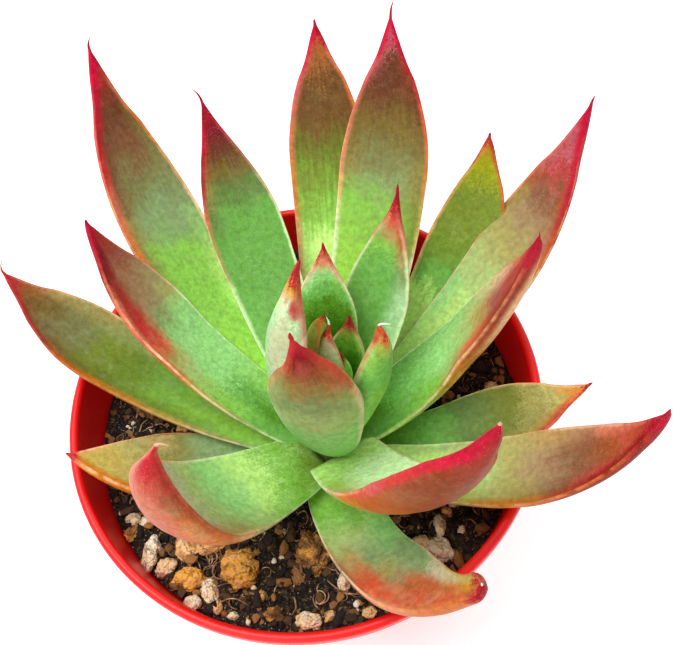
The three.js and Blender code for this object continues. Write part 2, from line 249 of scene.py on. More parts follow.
# Leaf blades: what all share. Shares are of a blade's length, half its width or its thickness.
bladeShape = dict(
    sides=36,
    stations=74,
    stationSpread=1.2,
    steps=240,
    bendLateness=1.5,
    pinchFrom=0.4,
    neckCurve=1.6,
    footThickness=0.62,
    thickestAt=0.7,
    tipFullness=3.2,
    hollow=0.1,
    keelFullness=0.58,
    keelRidge=0.07,
    keelZone=(0.4, 0.85),
    keelWidth=0.2,
    marginRound=0.24,
    cupAtFoot=0.35,
    cupWholeAt=0.6,
    footCap=0.5,
    bristleFrom=0.9,
    bristleTaper=0.7,
    bristleEnd=0.03,
    bristleRun=0.1,
    noseJoin=4,
    tipZone=(0.72, 1.1),
    tipReach=1.5,
    waveHeight=0.16,
    waveLength=9,
    waveWidth=3,
    edgeWave=0.12,
    edgeWaveLength=6,
)

# reach: how far from the stem's middle the foot is. rise: tilt at foot and tip. lateness: over 1 where
# it curls late. rolledBy: by which share it has its whole roll. belly: where it is widest. neck: width
# of the foot over the greatest. taper and pinch: how slender the tip is. sweep: how the bristle bends,
# sideways and upwards. blunt: radius of a blunt tip. tipShift: how far the tip leans the same two ways.
usualBlade = dict(
    reach=4,
    thickness=4.8,
    lateness=1.2,
    bend=0,
    roll=0,
    rolledBy=0.5,
    cup=20,
    belly=0.58,
    neck=0.5,
    taper=1.1,
    pinch=0.12,
    bristle=1.8,
    bristleRadius=0.26,
    sweep=(0, 0.3),
    blunt=0,
    tipShift=(0, 0),
)

# How a blade is coloured from foot to tip, in percent of its length. A name with Left or Right added
# holds for that side of the blade, as seen from the foot, from the first to the second share of zone
# on. band: widths of the left and right margin bands. wander and streaks: how far noise shifts the
# colours. tone: how light the whole is.
usualLook = dict(
    face="10 lime 50 apple 90 crimson",
    under="10 paleLime 40 lime 55 straw 70 orange 82 coral 94 crimson",
    edge="20 cream 50 peach 70 coral 92 crimson",
    # The thin line along the very margin: partly the rim's own pale colour, partly a painted highlight.
    line="20 cream 50 cream 68 peach 84 coral 94 crimson",
    band=(0.8, 0.8),
    zone=(0.3, 0.9),
    bloom=0.08,
    bloomColour="mint",
    specks=0.08,
    wander=0.13,
    streaks=0.08,
    # Colour of the tip and its bristle, partly a painted glint on blades where it is white or blush.
    whiskerAndGlint="crimson",
    tone=1,
    marks=[],
)

blades = [
    dict(node="leaf_01", heading=-13.9, foot=7, reach=0.9, length=21.6, width=4.6, rise=(80.5, 92.1),
     thickness=2.2, lateness=1.26, bend=-9, roll=-7, belly=0.56, taper=1.36, bristle=0.6, pinch=0.2,
     under="40 lime 76 paleLime 89 paleLime 95.5 russet 98.5 darkCrimson",
     edge="50 jade 88 straw 97 redBrown",
     band=(0.3, 0.3)),
    dict(node="leaf_02", heading=238, foot=5.5, reach=1.5, length=30.3, width=7.7, rise=(89.7, 108.1),
     thickness=2.8, lateness=1.25, bend=-9, roll=-3, taper=1.16, bristle=1.4, sweep=(-0.5, 0),
     under="30 lime 62 lime 74 milkGreen 86 cream 91 apricot 94 flame 98.5 crimson",
     edge="50 milkGreen 84 cream 94 flame",
     band=(0.4, 0.4), whiskerAndGlint="white", specks=0.12),
    dict(node="leaf_03", heading=59.7, foot=4, reach=1.7, length=21.1, width=7.8, rise=(55, 62.3),
     thickness=3, lateness=1.25, bend=9, roll=2, taper=1.16, bristle=0.8,
     # Its dark greens, from the foot to the middle, are painted shade where the blades around it shade it.
     face="45 darkGreen 62 shadeGreen 75 deepGreen 86 grass 92 russet 97 darkCrimson",
     faceRight="45 shadeGreen 62 deepGreen 76 apple 86 pear 93 russet 98 darkCrimson",
     edge="50 midGreen 78 jade 87 khaki 93 redBrown 98 crimson",
     band=(0.4, 0.4), bloom=0),
    dict(node="leaf_04", heading=141.9, foot=7, reach=1.7, length=32.7, width=9.7, rise=(82.1, 108),
     thickness=2.8, lateness=1.25, bend=30, roll=-1, belly=0.59, taper=1.06, bristle=0.8,
     face="30 apple 93 apple 97 amber 99 scarlet",
     under="30 lime 91 pear 96 amber 98.5 scarlet",
     edge="50 jade 92 straw 97 amber 99 redBrown",
     line="50 jade 95 orange",
     band=(0.2, 0.2), wander=0.03, streaks=0.02),
    dict(node="leaf_05", heading=84.9, foot=2, reach=3, length=35.3, width=12.8, rise=(49.9, 59.4),
     thickness=4.2, lateness=1.27, bend=-10, belly=0.55, taper=1.16, bristle=0.8, pinch=0.07,
     # Its dark greens low down are painted shade where the blades around it shade it.
     face="40 darkGreen 55 shadeGreen 66 deepGreen 76 midGreen 86 jade 92 salmon 95.5 coral 98.5 magenta",
     faceLeft="45 shadeGreen 60 deepGreen 70 midGreen 80 jade 87 mint 92 salmon 97 crimson",
     faceRight="45 shadeGreen 60 deepGreen 72 midGreen 82 apple 88 mint 93 salmon 97 crimson",
     edge="50 midGreen 74 jade 85 blush 92 coral 97.5 crimson",
     line="40 milkGreen 75 cream 87 blush 94 crimson",
     band=(0.7, 0.7), bloom=0, tone=1.12),
    dict(node="leaf_06", heading=-3.3, foot=0.5, reach=3, length=39.8, width=8.8, rise=(73.9, 83.8),
     lateness=1.18, bend=2, roll=-43, rolledBy=0.35, belly=0.59, taper=1.09, bristle=1.6, sweep=(0.3, -1.2),
     pinch=0.1,
     face="40 apple 88 apple 94 orange 98 scarlet",
     under="20 jade 50 apple 66 midGreen 80 midGreen 90 pear 94 orange 96.5 scarlet 98.5 crimson",
     underRight="30 paleLime 52 jade 66 midGreen 80 apple 92 pear 97 scarlet",
     edge="50 milkGreen 85 jade 95 orange",
     band=(0.3, 0.3), whiskerAndGlint="white", tone=1.07),
    dict(node="leaf_07", heading=-113, foot=-0.5, reach=3.3, length=43.3, width=18.3, rise=(75.9, 112),
     thickness=4, lateness=1.15, bend=33, roll=-11, cup=26, belly=0.54, neck=0.58, taper=1.07, bristle=3.5,
     bristleRadius=0.75, tipShift=(-0.8, -0.2), pinch=0.2,
     under="10 jade 40 jade 52 sage 66 glaucous 76 bronze 83 cinnamon 89 darkCrimson 96 crimson",
     underLeft="12 jade 45 jade 60 sage 71 khaki 79 sienna 89 brick 96 crimson",
     underRight="20 jade 50 milkGreen 60 sage 70 sage 80 khaki 86 vermilion 93 wine",
     edgeLeft="15 paleLime 30 cream 56 cream 66 apricot 74 vermilion 90 scarlet",
     edgeRight="30 milkGreen 58 cream 70 peach 78 coral 92 scarlet",
     line="40 white 62 cream 75 salmon 90 scarlet",
     marks=[dict(at=(0.1, 0.87), size=(0.4, 0.05), colour="rosePink", share=0.3)],
     band=(1.1, 1), bloomColour="blush", tone=0.84),
    dict(node="leaf_08", heading=179.3, foot=1, reach=3.2, length=53.3, width=11.3, rise=(76.1, 122.2),
     thickness=4.4, lateness=1.34, bend=44, belly=0.56, neck=0.55, taper=1.18, bristle=0.4,
     tipShift=(-1.2, 0),
     under="30 jade 56 mint 78 mint 86 milkGreen 90 blush 92 honey 94.5 amber 96.5 scarlet 99 crimson",
     edgeLeft="30 cream 70 cream 80 blush 94 orange 98 scarlet",
     edgeRight="30 mint 85 milkGreen 95 salmon 98 scarlet",
     marks=[dict(at=(0.3, 0.72), size=(0.6, 0.14), colour="blush", share=0.4),
            dict(at=(0.72, 0.862), size=(0.42, 0.034), colour="magenta", share=0.9)],
     band=(0.5, 0.5), specks=0.2, bloom=0.1, bloomColour="milkGreen", tone=0.93),
    dict(node="leaf_09", heading=56.2, foot=-1, reach=3.2, length=49.6, width=13.7, rise=(35.6, 61.8),
     thickness=4.3, lateness=1.55, bend=6, roll=1, cup=14, belly=0.51, taper=1.24, bristle=1.4, pinch=0.13,
     face="25 leafGreen 50 midGreen 68 midGreen 76 apple 83 tan 88 vermilion 93 scarlet 97 crimson",
     faceLeft="30 midGreen 66 midGreen 78 apple 84 khaki 90 salmon 95 crimson",
     faceRight="30 jade 55 mint 68 glaucous 74 tan 80 rust 90 vermilion 96 crimson",
     edge="20 milkGreen 70 milkGreen 82 blush 90 coral 96 crimson",
     band=(0.5, 0.7), zone=(0.2, 0.75)),
    dict(node="leaf_10", heading=-66.6, foot=-3.1, length=65.1, width=20, rise=(29.1, 79.8), lateness=0.69,
     bend=74, roll=-81, rolledBy=0.99, cup=30, belly=0.54, neck=0.75, taper=0.91, bristle=0.4,
     bristleRadius=0.35, tipShift=(1.9, 0), pinch=0.38,
     face="4 paleLime 15 milkGreen 32 milkGreen 60 jade 90 crimson",
     faceRight="5 paleLime 22 pear 32 sand 42 apricot",
     under="20 lime 40 khaki 52 ember 60 darkEmber 76 darkEmber 90 redBrown 97 wine",
     underLeft="20 lime 50 olive 70 ember 88 ember 95 vermilion 98 crimson",
     underRight="12 paleLime 26 pear 38 amber 48 rust 60 ember 76 darkEmber 90 redBrown 97 wine",
     edgeLeft="30 sand 70 sand 85 apricot 95 vermilion",
     edgeRight="10 milkGreen 24 sand 36 orange 46 vermilion 56 rosePink 72 scarlet 88 magenta 95 crimson",
     line="10 cream 40 apricot 60 rosePink 90 crimson",
     band=(0.6, 1.1), zone=(0, 0.8), bloom=0.05, whiskerAndGlint="blush"),
    dict(node="leaf_11", heading=22.3, foot=-3.5, length=59.6, width=18.1, rise=(8.2, 73), lateness=1.05,
     bend=-1, roll=-42, belly=0.53, bristle=1.2, pinch=0.15,
     # The deep green at its foot is partly painted shade from the blades above it.
     face="10 deepGreen 22 midGreen 42 jade 53 sage 63 tan 70 rose 82 rosewood 95 magenta",
     faceLeft="20 midGreen 48 jade 60 sage 69 sand 76 blush 83 coral 94 crimson",
     faceRight="12 leafGreen 34 apple 45 sage 51 tan 58 flame 70 wine 84 wine 96 magenta",
     under="10 paleLime 30 paleLime 43 honey 54 amber 66 peach 76 apricot 88 peach 97 vermilion",
     edgeLeft="20 milkGreen 60 milkGreen 74 sand 83 coral 94 crimson",
     edgeRight="10 paleLime 30 pear 42 amber 52 orange 62 brick 71 darkCrimson 85 darkCrimson 96 crimson",
     band=(0.5, 1.1), zone=(0.1, 0.8), bloom=0.05),
    dict(node="leaf_12", heading=211.4, foot=-4.5, length=62.4, width=21.5, rise=(20.9, 124.9),
     thickness=5.2, lateness=1.53, bend=14, roll=1, cup=30, belly=0.59, neck=0.56, taper=1.12,
     sweep=(1.4, 0), pinch=0, bristleRadius=0.4,
     face="2 grass 14 apple 26 paleLime 38 jade 47 sage 57 ash 64 coral 76 rosewood 88 scarlet 95 magenta",
     faceLeft="4 grass 20 apple 34 sage 46 khaki 56 tan 63 coral 76 rosewood 93 magenta",
     under="20 paleLime 40 amber 55 orange 70 coral 84 coral 93 scarlet 98 magenta",
     underLeft="30 paleLime 42 amber 55 rust 66 orange 77 orange 86 cinnamon 96 scarlet",
     underRight="50 orange 72 coral 86 salmon 96 salmon",
     edgeLeft="3 deepGreen 16 leafGreen 28 sage 38 sand 46 apricot 55 peach 62 orange 74 rust 85 brick "
             "95 scarlet",
     edgeRight="5 apple 35 milkGreen 50 sand 60 blush 80 salmon",
     line="10 milkGreen 35 cream 50 apricot 70 coral",
     band=(0.8, 0.6), specks=0.2, bloom=0.12, bloomColour="milkGreen", whiskerAndGlint="blush", tone=0.88),
    dict(node="leaf_13", heading=145.1, foot=-4.5, length=65.6, width=16.7, rise=(17.2, 57.7), lateness=1.22,
     bend=-27, roll=29, taper=1.08, bristle=0.4, pinch=0.1,
     # The deep green at its foot is partly painted shade from the blades above it.
     face="12 deepGreen 24 leafGreen 36 jade 54 jade 63 glaucous 70 fawn 78 mauve 86 dusk 93 wine "
             "97 crimson",
     faceLeft="10 leafGreen 30 apple 44 sage 51 tan 56 vermilion 63 scarlet 76 wine 90 plum",
     faceRight="20 apple 40 jade 60 jade 69 khaki 78 fawn 87 dusk 95 wine",
     under="10 lime 30 straw 50 orange 70 coral 90 crimson",
     edgeLeft="10 jade 24 khaki 36 straw 44 orange 53 vermilion 65 coral 75 coral 83 darkCrimson 95 crimson",
     edgeRight="20 jade 50 milkGreen 66 cream 77 blush 87 coral 96 crimson",
     band=(0.9, 0.4), zone=(0.15, 0.65), bloom=0.1),
    dict(node="leaf_14", heading=-85.1, foot=-7.5, length=53.8, width=14.1, rise=(16.7, 58.6), thickness=5.2,
     lateness=1.49, bend=79, roll=-8, cup=26, belly=0.56, neck=0.97, taper=1.18, bristle=0.3, blunt=2.4,
     pinch=0,
     face="5 brightLime 22 apple 34 sage 45 greyGreen 56 khaki 62 fawn 68 sienna 80 sienna 95 amber "
             "100 brick",
     faceLeft="10 paleLime 24 paleLime 36 jade 52 greyGreen 66 greyGreen 75 ash 95 straw 100 crimson",
     faceRight="8 lime 20 apple 33 sage 43 tan 52 vermilion 62 flame 76 vermilion 96 sienna 100 crimson",
     under="20 midGreen 40 fawn 60 wine 75 orange 85 orange 96 orange 100 crimson",
     edgeLeft="10 milkGreen 30 jade 55 glaucous 70 ash 86 straw 97 coral",
     edgeRight="10 leafGreen 25 sage 36 tan 46 mauve 55 vermilion 66 salmon 78 orange 94 orange 100 crimson",
     band=(0.4, 0.8), zone=(0.05, 0.6), bloom=0.15, whiskerAndGlint="white", tone=0.88),
    dict(node="leaf_15", heading=-25.1, foot=-7.5, length=73.9, width=15.1, rise=(8.4, 77.3), lateness=1.38,
     bend=21, roll=-3, cup=25, belly=0.53, neck=0.45, taper=1.16, bristle=1, pinch=0.13,
     face="10 paleLime 30 paleLime 40 sage 48 khaki 57 fawn 68 duskBrown 79 cinnamon 86 brick 96 crimson",
     faceLeft="10 paleLime 30 sage 50 khaki 62 tan 72 mauve 82 coral 95 crimson",
     faceRight="10 paleLime 30 pear 44 khaki 53 bronze 62 duskBrown 72 rosewood 84 wine 96 crimson",
     under="20 lime 38 amber 60 rust 80 rust 95 crimson",
     edgeLeft="20 milkGreen 40 sand 56 tan 66 blush 80 blush 88 coral 96 crimson",
     edgeRight="20 lime 34 straw 45 tangerine 56 rust 65 redBrown 73 darkCrimson 88 darkCrimson 96 crimson",
     line="20 cream 50 peach 75 orange 95 crimson",
     band=(0.5, 1.3), specks=0.16, bloom=0.06, bloomColour="blush"),
    dict(node="leaf_16", heading=-3.2, foot=-9, length=52.4, width=14.3, rise=(9.6, 34.5), thickness=4.4,
     lateness=1.26, bend=7, roll=7, belly=0.6, taper=1.04, bristle=0.8, pinch=0.16,
     # The deep green at its foot is partly painted shade from the blades above it.
     face="10 deepGreen 40 leafGreen 50 fern 68 moss 78 olive 88 khaki 94 amber 97 darkCrimson",
     faceRight="10 deepGreen 50 fern 65 olive 76 bronze 85 rust 95 rust 98.5 darkCrimson",
     edgeLeft="20 leafGreen 50 grass 70 khaki 84 peach 95 peach 98.5 darkCrimson",
     edgeRight="40 khaki 62 amber 74 brick 86 brick 95 orange 98.5 darkCrimson",
     band=(0.5, 1.1), bloom=0.1, bloomColour="greyGreen", tone=1.12),
    dict(node="leaf_17", heading=182.2, foot=-9, length=50.4, width=17.3, rise=(8.4, 27.5), thickness=5.2,
     lateness=1.23, bend=-18, roll=13, cup=30, belly=0.5, taper=0.98, bristle=0.5, pinch=0,
     face="10 leafGreen 42 greyGreen 56 olive 68 khaki 84 straw 93 straw 97 orange 99 crimson",
     faceRight="20 leafGreen 44 greyGreen 56 olive 66 tan 76 khaki 88 straw 96 salmon 99 crimson",
     under="30 olive 50 tangerine 90 tangerine 97 scarlet",
     edgeLeft="30 olive 60 amber 74 tangerine 92 tangerine 98 scarlet",
     edgeRight="30 greyGreen 50 fawn 64 duskBrown 75 tan 86 peach 96 apricot 99 scarlet",
     line="30 tan 60 salmon 90 apricot 98 scarlet",
     band=(1.5, 0.5), bloom=0.12),
    dict(node="leaf_18", heading=153.4, foot=-6.5, length=76.5, width=17.4, rise=(6.7, 38.7), lateness=1.6,
     bend=-19, roll=16, belly=0.67, neck=0.42, taper=1.08, bristle=2.6, sweep=(-0.9, 0.6),
     face="10 brightLime 28 lime 44 apple 55 grass 66 oliveGreen 75 greyOlive 85 oliveBrown 93 russet "
             "98 magenta",
     faceLeft="10 brightLime 24 apple 38 grass 54 grass 65 moss 75 oliveBrown 86 brown 95 russet",
     faceRight="20 brightLime 45 apple 56 sage 68 khaki 80 khaki 88 tan 96 crimson",
     under="10 paleLime 30 apple 45 bronze 60 russet 80 redBrown 95 wine",
     edgeLeft="10 jade 25 khaki 40 straw 52 amber 62 tangerine 72 rust 82 redBrown 92 wine 98 magenta",
     edgeRight="30 cream 55 cream 72 apricot 88 peach 96 coral",
     line="20 cream 45 peach 70 orange 90 scarlet",
     band=(1.2, 0.5), bloom=0.14, whiskerAndGlint="rosePink", tone=0.85),
    dict(node="leaf_19", heading=104, foot=-4.5, length=75.6, width=16.7, rise=(9.5, 57.3), lateness=1.13,
     bend=-1, roll=-7, cup=24, belly=0.61, neck=0.46, taper=1.12, bristle=3.2, sweep=(0.35, 0.3), pinch=0.08,
     face="10 jade 28 leafGreen 50 leafGreen 66 leafGreen 74 fern 79 oliveBrown 85 umber 91 plum 97 crimson",
     faceLeft="10 mint 30 midGreen 55 leafGreen 66 fern 74 olive 80 russet 86 wine 93 plum",
     edgeLeft="20 milkGreen 40 milkGreen 52 khaki 60 tan 67 coral 77 crimson 90 magenta 97 plum",
     edgeRight="20 milkGreen 60 milkGreen 70 sand 78 fawn 86 rose 95 crimson",
     line="30 cream 60 cream 76 coral 90 magenta",
     band=(0.9, 0.5), specks=0.16, bloom=0.06),
    dict(node="leaf_20", heading=66.1, foot=-5, length=88.5, width=19.1, rise=(17.2, 52), thickness=5.2,
     lateness=1.23, bend=12, roll=12, cup=12, belly=0.64, taper=1.09, bristle=2.8, sweep=(-0.25, 0),
     pinch=0.13,
     face="15 paleLime 42 lime 52 apple 61 glaucous 67 greyOlive 75 oliveBrown 83 umber 91 umber "
             "95.5 dustyRose 98.5 magenta",
     faceLeft="20 lime 46 lime 56 apple 65 olive 74 oliveBrown 84 umber 92 rose 97 magenta",
     faceRight="30 lime 48 grass 60 olive 72 oliveBrown 80 umber 90 redBrown 96 crimson",
     edgeLeft="30 cream 48 milkGreen 58 peach 68 salmon 78 coral 87 rosePink 96 magenta",
     edgeRight="40 cream 52 straw 62 orange 75 vermilion 88 crimson 96 magenta",
     band=(0.9, 0.8), specks=0.12, bloom=0.1, bloomColour="khaki", tone=1.05),
    dict(node="leaf_21", heading=33.4, foot=-7, length=88.3, width=17.1, rise=(8.8, 60.6), thickness=5.2,
     lateness=1.45, bend=11, roll=-12, cup=10, belly=0.57, taper=1.11, bristle=1.6, sweep=(-0.2, 0.2),
     pinch=0.14,
     face="15 paleLime 42 paleLime 52 sage 60 khaki 69 fawn 78 duskBrown 83 rosewood 90 dustyRose "
             "98 magenta",
     faceLeft="20 paleLime 46 jade 55 sage 64 khaki 73 bronze 80 cinnamon 90 dustyRose 97 magenta",
     faceRight="20 paleLime 48 sage 58 tan 66 mauve 76 cinnamon 84 rosewood 92 wine 97 crimson",
     under="30 straw 50 orange 62 rust 72 scarlet 85 crimson",
     edgeLeft="20 milkGreen 50 sand 62 tan 74 salmon 84 coral 92 rosePink 98 magenta",
     edgeRight="30 straw 50 orange 60 rust 68 brick 76 crimson 97 magenta",
     band=(0.5, 1.5), specks=0.12, bloomColour="blush"),
    dict(node="leaf_22", heading=125.3, foot=-5.5, reach=4.6, length=94.6, width=20.4, rise=(6.6, 64),
     lateness=0.89, bend=-24, roll=28, cup=15, belly=0.56, neck=0.45, taper=1.05, sweep=(-0.8, -0.3),
     tipShift=(-1.2, 0), pinch=0.17,
     face="10 lime 42 apple 52 apple 61 greyGreen 70 greyOlive 78 duskBrown 87 umber 94 redBrown "
             "98.5 magenta",
     faceLeft="20 lime 44 apple 54 olive 62 bronze 70 duskBrown 80 umber 92 redBrown 98 magenta",
     faceRight="10 paleLime 46 paleLime 56 jade 65 greyGreen 74 greyOlive 82 oliveBrown 90 umber 95 brick "
             "98.5 crimson",
     edgeLeft="20 cream 45 peach 56 orange 66 coral 76 scarlet 86 crimson 96 magenta",
     edgeRight="30 cream 60 cream 70 peach 80 orange 90 coral 97 crimson",
     line="20 cream 50 cream 64 peach 80 coral 92 crimson",
     band=(1.7, 0.8), bloom=0.1, bloomColour="glaucous", tone=1.17),
    dict(node="leaf_23", heading=79.8, foot=-6.5, reach=4.4, length=90.8, width=17.3, rise=(6.7, 67.4),
     thickness=4.6, lateness=1.27, bend=7, roll=-5, cup=10, belly=0.68, taper=1.02, bristle=0.6, pinch=0.14,
     face="15 paleLime 46 paleLime 55 apple 63 grass 70 moss 78 brown 86 brown 92 russet 95.5 rust "
             "98 crimson",
     edgeLeft="30 cream 50 peach 60 orange 75 coral 86 rosePink 97 magenta",
     edgeRight="30 cream 55 peach 70 amber 82 orange 90 coral 97 crimson",
     band=(1.2, 0.8), streaks=0.14, specks=0.12, bloom=0.1, bloomColour="khaki", tone=1.1),
    dict(node="leaf_24", heading=43.5, foot=-8, length=78.7, width=16.9, rise=(-1.4, 85.4), thickness=4.6,
     lateness=1.51, bend=17, roll=16, cup=16, belly=0.61, taper=1.05, bristle=1, pinch=0.11,
     face="20 paleLime 46 paleLime 55 midGreen 63 grass 71 oliveGreen 80 oliveGreen 90 yellowOlive "
             "95.5 amber 98.5 scarlet",
     edgeLeft="30 cream 55 apricot 75 peach 88 straw 95 orange 98 scarlet",
     edgeRight="30 cream 55 salmon 72 vermilion 88 orange 96 scarlet",
     band=(0.6, 0.7), specks=0.12, bloom=0.1, bloomColour="greyGreen", tone=1.08),
]

# Stem: the same lean as the part's own, hidden inside the rosette.
stemShape = dict(
    middle=(5.5, -9, 80),
    lean=(0.2, 0.3),
    reach=18,
    rise=7,
    radius=3.2,
    topRadius=0.8,
    taperFrom=2,
    sides=40,
    rings=46,
    scarHeight=0.25,
    scarTurns=2,
    scarPitch=2.2,
    scarWeight=0.3,
    lumpScale=0.6,
)


def stemAt(z):
    x, y, middle = stemShape["middle"]
    over = z - middle
    return Vector((x + stemShape["lean"][0] * over, y + stemShape["lean"][1] * over, z))


def directions(blade, along):
    footRise, tipRise = blade["rise"]
    rise = math.radians(footRise + (tipRise - footRise) * along ** blade["lateness"])
    bent = blade["bend"] * along ** bladeShape["bendLateness"]
    turn = math.radians(blade["heading"] + bent)
    level = math.cos(rise)
    tangent = Vector((level * math.cos(turn), level * math.sin(turn), math.sin(rise)))
    side = Vector((-math.sin(turn), math.cos(turn), 0))
    face = tangent.cross(side)
    roll = math.radians(blade["roll"]) * min(1, along / blade["rolledBy"])
    rolled = side * math.cos(roll) + face * math.sin(roll)
    return tangent, rolled, tangent.cross(rolled)


def midline(blade):
    heading = math.radians(blade["heading"])
    out = Vector((math.cos(heading), math.sin(heading), 0))
    point = stemAt(stemShape["middle"][2] + blade["foot"]) + out * blade["reach"]
    steps = bladeShape["steps"]
    line = []
    for i in range(steps + 1):
        line.append(point.copy())
        tangent = directions(blade, (i + 0.5) / steps)[0]
        point += tangent * (blade["length"] / steps)
    return line


def pointOn(line, along):
    place = along * (len(line) - 1)
    first = min(int(place), len(line) - 2)
    return line[first].lerp(line[first + 1], place - first)


def widthShare(blade, along):
    belly = blade["belly"]
    if along > belly:
        left = (1 - along) / (1 - belly)
        pinch = math.sin(math.pi * min(1, left / bladeShape["pinchFrom"])) * blade["pinch"]
        return math.sin(math.pi / 2 * left ** blade["taper"]) * (1 - pinch)
    return 1 - (1 - blade["neck"]) * ((belly - along) / belly) ** bladeShape["neckCurve"]


def thicknessShare(along):
    least = bladeShape["footThickness"]
    swell = math.sin(min(1, along / bladeShape["thickestAt"]) * math.pi / 2)
    return (least + (1 - least) * swell) * math.sqrt(max(0, 1 - along ** bladeShape["tipFullness"]))


# Sets each vertex of an upright unit tube on the blade: its height says how far along it lies.
def shapeBlade(blade, number):
    shape = bladeShape
    bm = bmesh.new()
    bmesh.ops.create_cone(bm, cap_ends=True, segments=shape["sides"], radius1=1, radius2=1, depth=1)
    uprights = [e for e in bm.edges if abs(e.verts[0].co.z - e.verts[1].co.z) > 0.5]
    bmesh.ops.subdivide_edges(bm, edges=uprights, cuts=shape["stations"], use_grid_fill=True)
    bmesh.ops.poke(bm, faces=[f for f in bm.faces if len(f.verts) > 4])
    placeLayer = bm.verts.layers.float_vector.new("blade")
    edgeLayer = bm.verts.layers.float.new("edge")
    line = midline(blade)
    tipTangent = directions(blade, 1)[0]
    for vert in bm.verts:
        across, lift, share = vert.co.x, vert.co.y, vert.co.z + 0.5
        spread = min(1, share / shape["bristleFrom"])
        along = 1 - (1 - spread) ** shape["stationSpread"]
        past = max(0, (share - shape["bristleFrom"]) / (1 - shape["bristleFrom"]))
        tangent, side, face = directions(blade, along)
        half = blade["width"] / 2 * widthShare(blade, along)
        thick = blade["thickness"] * thicknessShare(along)

        # The bristle takes over where the tip grows thinner than it, and a blunt nose joins in smoothly.
        slim = blade["bristleRadius"] * (1 - past) ** shape["bristleTaper"] + shape["bristleEnd"]
        fromTip = (1 - along) * blade["length"]
        nose = blade["blunt"] and math.sqrt(max(0, 1 - max(0, 1 - fromTip / blade["blunt"]) ** 2))
        join = shape["noseJoin"]
        half = max(slim, (half ** join + (blade["blunt"] * nose) ** join) ** (1 / join))
        thick = max(slim, (thick ** join + (blade["blunt"] * nose) ** join) ** (1 / join))

        cup = math.radians(blade["cup"])
        cup *= min(1, shape["cupAtFoot"] + (1 - shape["cupAtFoot"]) * along / shape["cupWholeAt"])
        radius = half / cup
        fill = max(0, 1 - across * across)
        if lift > 0:
            raised = shape["hollow"] * thick * fill + min(shape["marginRound"], thick / 2) * fill ** 0.5
        else:
            keel = shape["keelRidge"] * smoothstep(*shape["keelZone"], along)
            ridge = keel * math.exp(-((across / shape["keelWidth"]) ** 2))
            raised = -thick * ((1 - shape["hollow"]) * fill ** shape["keelFullness"] + ridge)
        centre = pointOn(line, along)
        if vert.co.x == 0 and abs(lift) < 1e-6:  # the middle of either end
            raised = 0
            centre = centre - tangent * (shape["footCap"] if share < 0.5 else 0)

        run = along * blade["length"]
        wave = noise.noise(Vector((across * half, run, number * 17)) / shape["waveLength"])
        bulge = min(1, half / shape["waveWidth"]) * (1 if lift > 0 else -1)
        raised += wave * shape["waveHeight"] * bulge * fill
        ripple = noise.noise(Vector((across * 3, run / shape["edgeWaveLength"], number * 5)))
        angle = across * cup * (1 + ripple * shape["edgeWave"] / max(half, 1))
        x = (radius - raised) * math.sin(angle)
        y = radius - (radius - raised) * math.cos(angle)
        sideways, upwards = blade["sweep"]
        curl = tipTangent * (past * blade["bristle"])
        curl += (side * sideways + face * upwards) * past * past * blade["bristle"]
        sideways, upwards = blade["tipShift"]
        near = smoothstep(*shape["tipZone"], along)
        curl += (side * sideways + face * upwards) * near * shape["tipReach"]
        vert.co = (centre + side * x + face * y + curl) * mm
        vert[placeLayer] = (across, along + past * shape["bristleRun"], lift)
        vert[edgeLayer] = (1 - abs(across)) * half
    bmesh.ops.recalc_face_normals(bm, faces=bm.faces)
    return bm


# Leaf skin: scales of the noises, how far they shift and shade the colours, and the ranges, from first
# to last, over which one colour gives way to another.
leafSkin = dict(
    cloud=130,
    patch=360,
    grain=2400,
    mottle=900,
    flecks=3600,
    pits=2300,
    streak=1.4,
    streakStretch=0.08,
    patchShift=0.08,
    grainShift=0.14,
    cloudShift=0.5,
    turnover=(-0.1, 0.06),
    bloomCloud=0.6,
    bloomPatches=(0.42, 0.72),
    bloomEnds=(0.8, 0.95),
    markPatches=1.5,
    markEdge=(0.2, 1.2),
    middle=(-0.02, 0.02),
    bandPatches=0.7,
    bandGrows=(0.05, 0.5),
    bandEdge=(0.3, 1.5),
    bandShare=0.9,
    lineEdge=(0.06, 0.26),
    linePatches=(0.3, 0.6),
    lineShare=0.7,
    fleckSize=(0.08, 0.4),
    fleckChance=(0.55, 0.75),
    fleckPatches=(0.3, 0.6),
    shade=0.3,
    grainShade=0.5,
    mottleShade=0.9,
    whiskerAndGlint=(1.004, 1.02),
    roughness=0.4,
    bloomRoughness=0.4,
    grainRoughness=0.15,
    pitBump=(0.2, 0.08),
    skinBump=(0.4, 0.3),
    streakRelief=0.6,
    subsurface=0.06,
    specular=0.12,
)


# The ramp called name, blended into those of the left and right zone where the look has them.
def zoned(finish, look, name, run, across, limits):
    colour = finish.ramp(run, look[name])
    for zone, share in (("Left", across), ("Right", 0 - across)):
        if name + zone in look:
            colour = finish.blend(finish.rise(share, *limits), colour, finish.ramp(run, look[name + zone]))
    return colour


